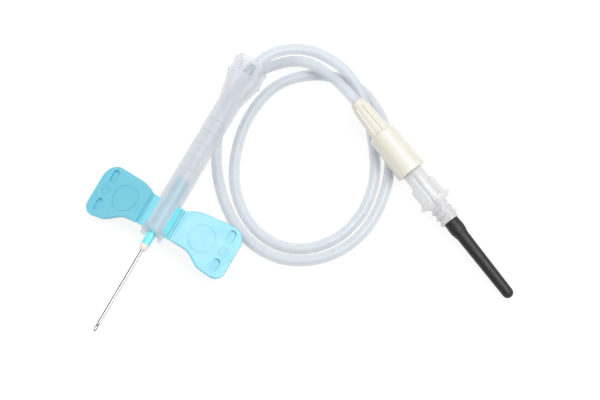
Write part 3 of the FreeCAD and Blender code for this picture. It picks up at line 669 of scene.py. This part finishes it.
@dataclass
class Finishes:
    """Every finish of the set."""

    steel: Finish = Finish(
        "drawn_steel",
        paint(190, 191, 195),
        paint(176, 177, 182),
        roughness=0.12,
        roughness_swing=0.02,
        metallic=1.0,
        cloud_size=0.4 * MM,
        grain_size=0.1 * MM,
        grain_height=0.0001 * MM,
        pattern=Pattern.DRAWN,
    )
    bond: Finish = Finish(
        "needle_adhesive",
        paint(240, 228, 222),
        paint(235, 221, 215),
        roughness=0.3,
        subsurface=0.3,
        grain_height=0.001 * MM,
    )
    hub: Finish = Finish(
        "hub_blue",
        paint(132, 230, 244),
        paint(125, 226, 241),
        roughness=0.22,
        roughness_swing=0.02,
        subsurface=0.3,
        grain_height=0.001 * MM,
        # Painted shade: a deeper blue where the hub is closed in by itself and the parts round it
        painted_shade_tone=paint(80, 198, 222),
        painted_shade_reach=0.9 * MM,
    )
    wing: Finish = Finish(
        "wing_vinyl",
        paint(124, 201, 219),
        paint(119, 198, 217),
        roughness=0.36,
        coat=0.2,
        subsurface=0.35,
        scatter_depth=0.8 * MM,
        # Painted shade: a deeper cyan in the wing's recesses, hinge groove and other closed-in
        # places
        painted_shade_tone=paint(20, 178, 208),
        grain_height=0.003 * MM,
    )
    frosted: Finish = Finish(
        "frosted_shield",
        paint(225, 228, 234),
        paint(219, 223, 230),
        roughness=0.42,
        opacity=0.36,
    )
    tube: Finish = Finish(
        "clear_vinyl",
        paint(228, 234, 240),
        paint(224, 231, 238),
        roughness=0.34,
        roughness_swing=0.02,
        opacity=0.5,
        grain_height=0.0002 * MM,
    )
    cream: Finish = Finish(
        "cream_plastic",
        paint(230, 226, 216),
        paint(227, 222, 210),
        roughness=0.24,
        roughness_swing=0.02,
        coat=0.5,
        subsurface=0.4,
        scatter_depth=1.0 * MM,
        grain_height=0.001 * MM,
    )
    clear: Finish = Finish(
        "clear_plastic",
        paint(236, 236, 237),
        paint(231, 231, 233),
        roughness=0.2,
        roughness_swing=0.02,
        opacity=0.5,
        grain_height=0.0005 * MM,
    )
    rubber: Finish = Finish(
        "black_rubber",
        paint(38, 38, 38),
        paint(36, 36, 37),
        roughness=0.5,
        roughness_swing=0.04,
        cloud_size=1.5 * MM,
        grain_size=0.12 * MM,
        grain_height=0.0001 * MM,
    )


@dataclass(frozen=True)
class Lamp:
    """A square soft lamp: where it hangs, its side, its power and whether gloss shows it."""

    name: str
    place: Vector
    size: float
    power: float
    in_gloss: bool


@dataclass
class Studio:
    """The table, the pale surroundings, the lamps and the camera."""

    # The camera looks down on the table from the needle's side, through a long lens
    target: Vector = field(default_factory=lambda: Vector((-20.08, 22.5, 0.0)) * MM)
    toward: Vector = field(default_factory=lambda: Vector((0.2405, 0.1346, 0.9613)))
    rightward: Vector = field(default_factory=lambda: Vector((-0.4883, 0.8727, 0.0)))
    picture_width: float = 600 / 4.97 * MM
    lens: float = 180.0
    sensor: float = 36.0
    clip: tuple[float, float] = (0.01, 10.0)
    table_half: float = 1.2
    # What lights the set from the table, and what is seen: a darker table that also glows
    table_tone: Colour = paint(232, 232, 232)
    shaded_tone: Colour = paint(110, 110, 110)
    table_glow: float = 0.87
    lamps: tuple[Lamp, ...] = (
        Lamp("key_lamp", Vector((-0.17, 0.22, 0.57)), 0.34, 2.5, True),
        Lamp("fill_lamp", Vector((0.05, -0.42, 0.45)), 0.4, 1.2, False),
    )
    # The pale dome that gloss shows, brightest overhead and dark towards the horizon
    dome_top: Vector = field(default_factory=lambda: Vector((-0.1, 0.42, 0.9)))
    dome_edge: tuple[float, float] = (0.5, 0.66)
    dome_levels: tuple[float, float] = (0.02, 0.9)
    room_light: float = 0.5

    def build_camera(self) -> None:
        """Place the camera where the photograph was taken from."""
        lens = bpy.data.cameras.new("camera")
        lens.lens = self.lens
        lens.sensor_width = self.sensor
        lens.clip_start, lens.clip_end = self.clip
        camera = bpy.data.objects.new("camera", lens)
        back = self.toward.normalized()
        right = (self.rightward - back * self.rightward.dot(back)).normalized()
        turn = Matrix((right, back.cross(right), back)).transposed()
        distance = self.picture_width * self.lens / self.sensor
        place = Matrix.Translation(self.target + back * distance)
        camera.matrix_world = place @ turn.to_4x4()
        bpy.context.scene.collection.objects.link(camera)
        bpy.context.scene.camera = camera

    def build_table(self) -> None:
        """Lay a plain white table that keeps a trace of shadow."""
        half = self.table_half
        square = [(-half, -half), (half, -half), (half, half), (-half, half)]
        table = make_mesh("table", [Vector((x, y, TABLE)) for x, y in square], [(0, 1, 2, 3)])
        graph = ShaderGraph.of_material("white_table")
        plain = graph.add("ShaderNodeBsdfDiffuse", Color=self.table_tone)
        shaded = graph.add("ShaderNodeBsdfDiffuse", Color=self.shaded_tone)
        glow = graph.add("ShaderNodeEmission", Color=WHITE, Strength=self.table_glow)
        bright = graph.add("ShaderNodeAddShader")
        mix = graph.add("ShaderNodeMixShader")
        graph.join(shaded.outputs[0], bright.inputs[0])
        graph.join(glow.outputs[0], bright.inputs[1])
        graph.join(graph.seen(), mix.inputs[0])
        graph.join(plain.outputs[0], mix.inputs[1])
        graph.join(bright.outputs[0], mix.inputs[2])
        graph.join(mix.outputs[0], graph.output.inputs["Surface"])
        dress(table, graph.owner)

    def build_world(self) -> None:
        """Surround the set with a white room, which gloss shows as a pale dome."""
        graph = ShaderGraph.of_world("pale_room")
        path = graph.add("ShaderNodeLightPath")
        white = graph.add("ShaderNodeBackground", Color=WHITE, Strength=1.0)
        lit = graph.add("ShaderNodeBackground", Color=WHITE, Strength=self.room_light)
        dome = graph.add("ShaderNodeBackground", Color=WHITE)
        place = graph.add("ShaderNodeTexCoord")
        height = graph.add("ShaderNodeVectorMath", operation="DOT_PRODUCT")
        height.inputs[1].default_value = self.dome_top.normalized()
        fade = graph.add(
            "ShaderNodeMapRange",
            From_Min=self.dome_edge[0],
            From_Max=self.dome_edge[1],
            To_Min=self.dome_levels[0],
            To_Max=self.dome_levels[1],
        )
        graph.join(place.outputs["Generated"], height.inputs[0])
        graph.join(height.outputs["Value"], fade.inputs["Value"])
        graph.join(fade.outputs["Result"], dome.inputs["Strength"])
        shown = graph.add("ShaderNodeMixShader")
        graph.join(path.outputs["Is Glossy Ray"], shown.inputs[0])
        graph.join(white.outputs[0], shown.inputs[1])
        graph.join(dome.outputs[0], shown.inputs[2])
        mix = graph.add("ShaderNodeMixShader")
        graph.join(graph.seen(), mix.inputs[0])
        graph.join(lit.outputs[0], mix.inputs[1])
        graph.join(shown.outputs[0], mix.inputs[2])
        graph.join(mix.outputs[0], graph.output.inputs["Surface"])

    def build_lamps(self) -> None:
        """Hang the soft lamps, each aimed at the set."""
        for lamp in self.lamps:
            light = bpy.data.lights.new(lamp.name, "AREA")
            light.shape = "SQUARE"
            light.size = lamp.size
            light.energy = lamp.power
            holder = bpy.data.objects.new(lamp.name, light)
            holder.location = lamp.place
            holder.rotation_euler = (self.target - lamp.place).to_track_quat("-Z", "Y").to_euler()
            holder.visible_glossy = lamp.in_gloss
            bpy.context.scene.collection.objects.link(holder)

    def build(self) -> None:
        """Set up everything around the object, and plain colour rendering."""
        bpy.context.scene.view_settings.view_transform = "Standard"
        self.build_camera()
        self.build_table()
        self.build_world()
        self.build_lamps()


@dataclass
class CollectionSet:
    """The whole set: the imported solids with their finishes, and the pieces made here."""

    nodes: dict[str, bpy.types.Object]
    connector: Axis
    finishes: Finishes = field(default_factory=Finishes)

    def dress_solids(self) -> None:
        """Give every solid that shows its finish."""
        clear = self.finishes.clear.material()
        steel = self.finishes.steel.material()
        wing = self.finishes.wing.material()
        by_node = {
            "needle_cannula": steel,
            "rear_cannula": steel,
            "needle_bond": self.finishes.bond.material(),
            "needle_hub": self.finishes.hub.material(),
            "left_wing": wing,
            "right_wing": wing,
            "safety_shield": self.finishes.frosted.material(),
            "female_luer": self.finishes.cream.material(),
            "luer_adapter": clear,
        }
        for node, material in by_node.items():
            dress(self.nodes[node], material)
            log.info("%s: %s", node, material.name)

    def build(self) -> None:
        """Make the pieces that stand for soft or finely formed solids."""
        boot = RubberBoot().build(self.connector)
        dress(boot, self.finishes.rubber.material())
        thread = HolderThread().build(self.connector)
        dress(thread, self.nodes["luer_adapter"].data.materials[0])
        tube = Tubing().build(self.connector)
        dress(tube, self.finishes.tube.material())
        for piece in (boot, thread, tube):
            log.info("%s: %d faces", piece.name, len(piece.data.polygons))


def mount_axis(record: dict, name: str) -> Axis:
    """Return the axis of one of the record's mounts."""
    for mount in record["mounts"]:
        if mount["name"] == name:
            return Axis(Vector(mount["pos_m"]), Vector(mount["axis"]).normalized())
    raise KeyError(name)


def main() -> None:
    """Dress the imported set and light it."""
    logging.basicConfig(level=logging.INFO, format="%(message)s")
    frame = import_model()
    Studio().build()
    whole = CollectionSet(frame["nodes"], mount_axis(frame["record"], "luer_taper"))
    whole.dress_solids()
    whole.build()


if __name__ == "__main__":
    main()
